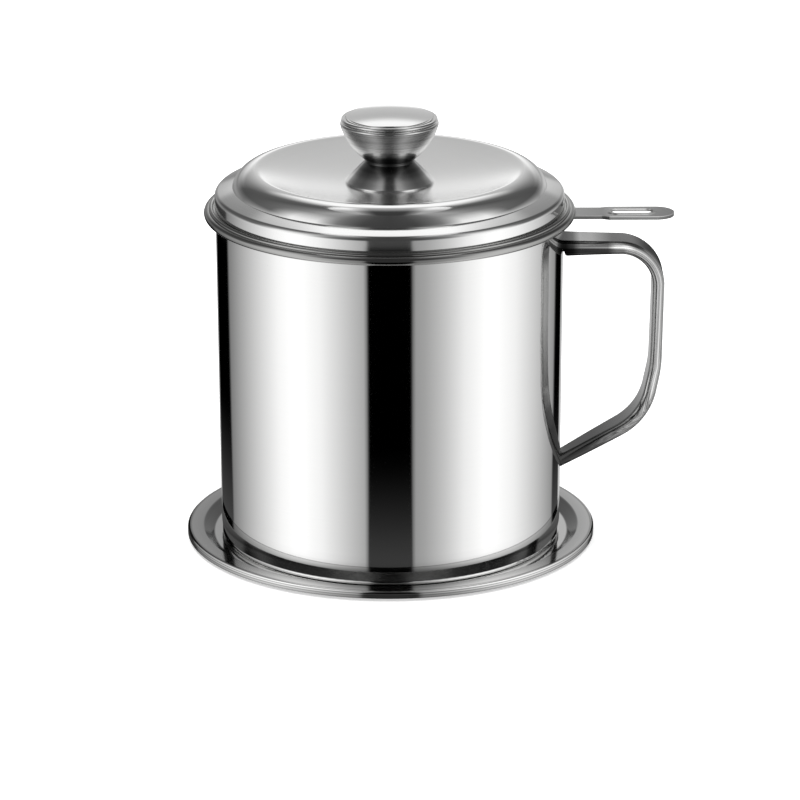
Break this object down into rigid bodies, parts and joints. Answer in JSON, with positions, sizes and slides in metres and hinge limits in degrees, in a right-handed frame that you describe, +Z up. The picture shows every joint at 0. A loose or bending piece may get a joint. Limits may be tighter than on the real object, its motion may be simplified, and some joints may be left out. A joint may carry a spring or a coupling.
{
  "type": "strainer pot",
  "caption": "Round metal pot for cooking fat with a side handle, a lift-out strainer with a flat handle, a raised lid with a turned knob, and a drip tray.",
  "frame": {"origin": "on the pot's axis, in the plane of the tray's flat underside, where the object rests", "axes": "+Z up along the pot's axis, +X towards the pot's handle and the strainer's handle, +Y to the left when looking along +X"},
  "size_m": [0.1703, 0.1436, 0.1527],
  "materials": {
    "polished_steel": "mirror polished stainless steel",
    "satin_steel": "plain stainless steel sheet",
    "wire_mesh": "woven stainless steel wire",
    "fastener_steel": "plain bright steel"
  },
  "bodies": {
    "tray": {"tray": "polished_steel"},
    "pot": {"pot_body": "polished_steel", "pot_handle": "polished_steel"},
    "strainer": {"strainer_rim": "polished_steel", "strainer_mesh": "wire_mesh", "mesh_clamp_ring": "satin_steel", "strainer_handle": "satin_steel"},
    "lid": {"lid": "polished_steel", "knob_foot": "polished_steel", "knob_bowl": "polished_steel", "knob_cap": "polished_steel", "knob_washer": "fastener_steel", "knob_screw": "fastener_steel", "knob_nut": "fastener_steel"}
  },
  "joints": [
    {"name": "pot_lift", "type": "slide", "parent": "tray", "child": "pot", "axis": [0, 0, 1], "range_m": [0, 0.06]},
    {"name": "strainer_lift", "type": "slide", "parent": "pot", "child": "strainer", "axis": [0, 0, 1], "range_m": [0, 0.07]},
    {"name": "lid_lift", "type": "slide", "parent": "strainer", "child": "lid", "axis": [0, 0, 1], "range_m": [0, 0.06]}
  ]
}
